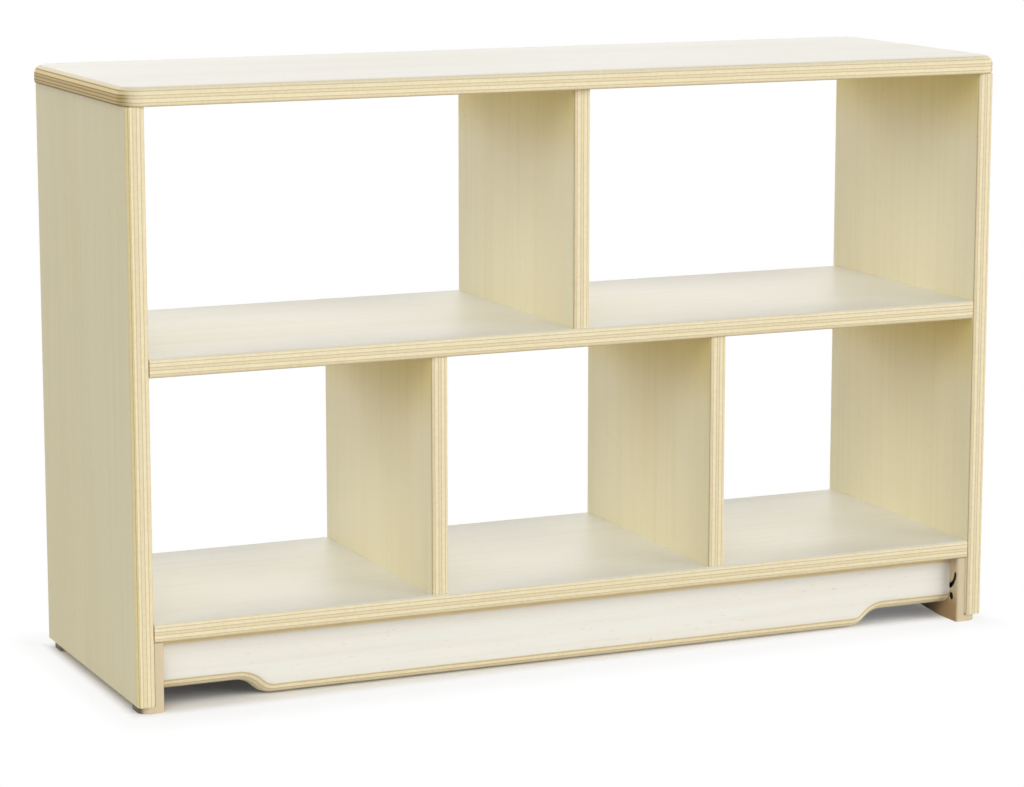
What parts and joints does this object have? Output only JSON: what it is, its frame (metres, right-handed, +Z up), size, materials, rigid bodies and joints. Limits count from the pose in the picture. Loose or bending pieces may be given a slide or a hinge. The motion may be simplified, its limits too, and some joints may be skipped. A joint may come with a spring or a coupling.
{
  "type": "classroom storage shelf",
  "caption": "Low open-backed classroom shelf in rounded birch plywood, wide compartments above narrower ones, on recessed kickboards and moulded corner legs.",
  "frame": {"origin": "on the floor, under the middle of the top panel", "axes": "+X to the right along the shelf's width seen from the front, +Y from front to back, +Z up"},
  "size_m": [0.961, 0.314, 0.61],
  "materials": {
    "birch_plywood": "clear satin lacquer, exposed layered edges",
    "dowel_wood": "bare beech",
    "leg_plastic": "satin moulded tan plastic",
    "screw_steel": "black oxide"
  },
  "bodies": {
    "root": {"top_panel": "birch_plywood", "side_panel_left": "birch_plywood", "side_panel_right": "birch_plywood", "middle_shelf": "birch_plywood", "bottom_shelf": "birch_plywood", "upper_divider": "birch_plywood", "lower_divider_left": "birch_plywood", "lower_divider_right": "birch_plywood", "kickboard_front": "birch_plywood", "kickboard_rear": "birch_plywood", "leg_front_left": "leg_plastic", "leg_front_right": "leg_plastic", "leg_rear_left": "leg_plastic", "leg_rear_right": "leg_plastic", "leg_screw_front_left_outer": "screw_steel", "leg_screw_front_left_inner": "screw_steel", "leg_screw_front_right_outer": "screw_steel", "leg_screw_front_right_inner": "screw_steel", "leg_screw_rear_left_outer": "screw_steel", "leg_screw_rear_left_inner": "screw_steel", "leg_screw_rear_right_outer": "screw_steel", "leg_screw_rear_right_inner": "screw_steel", "dowel_top_left_1": "dowel_wood", "dowel_top_left_2": "dowel_wood", "dowel_top_left_3": "dowel_wood", "dowel_top_right_1": "dowel_wood", "dowel_top_right_2": "dowel_wood", "dowel_top_right_3": "dowel_wood", "dowel_middle_shelf_left_1": "dowel_wood", "dowel_middle_shelf_left_2": "dowel_wood", "dowel_middle_shelf_left_3": "dowel_wood", "dowel_middle_shelf_right_1": "dowel_wood", "dowel_middle_shelf_right_2": "dowel_wood", "dowel_middle_shelf_right_3": "dowel_wood", "dowel_bottom_shelf_left_1": "dowel_wood", "dowel_bottom_shelf_left_2": "dowel_wood", "dowel_bottom_shelf_left_3": "dowel_wood", "dowel_bottom_shelf_right_1": "dowel_wood", "dowel_bottom_shelf_right_2": "dowel_wood", "dowel_bottom_shelf_right_3": "dowel_wood", "dowel_upper_divider_base_front": "dowel_wood", "dowel_upper_divider_base_rear": "dowel_wood", "dowel_upper_divider_head_front": "dowel_wood", "dowel_upper_divider_head_rear": "dowel_wood", "dowel_lower_divider_left_base_front": "dowel_wood", "dowel_lower_divider_left_base_rear": "dowel_wood", "dowel_lower_divider_left_head_front": "dowel_wood", "dowel_lower_divider_left_head_rear": "dowel_wood", "dowel_lower_divider_right_base_front": "dowel_wood", "dowel_lower_divider_right_base_rear": "dowel_wood", "dowel_lower_divider_right_head_front": "dowel_wood", "dowel_lower_divider_right_head_rear": "dowel_wood", "dowel_kickboard_front_1": "dowel_wood", "dowel_kickboard_front_2": "dowel_wood", "dowel_kickboard_front_3": "dowel_wood", "dowel_kickboard_rear_1": "dowel_wood", "dowel_kickboard_rear_2": "dowel_wood", "dowel_kickboard_rear_3": "dowel_wood"}
  },
  "joints": []
}
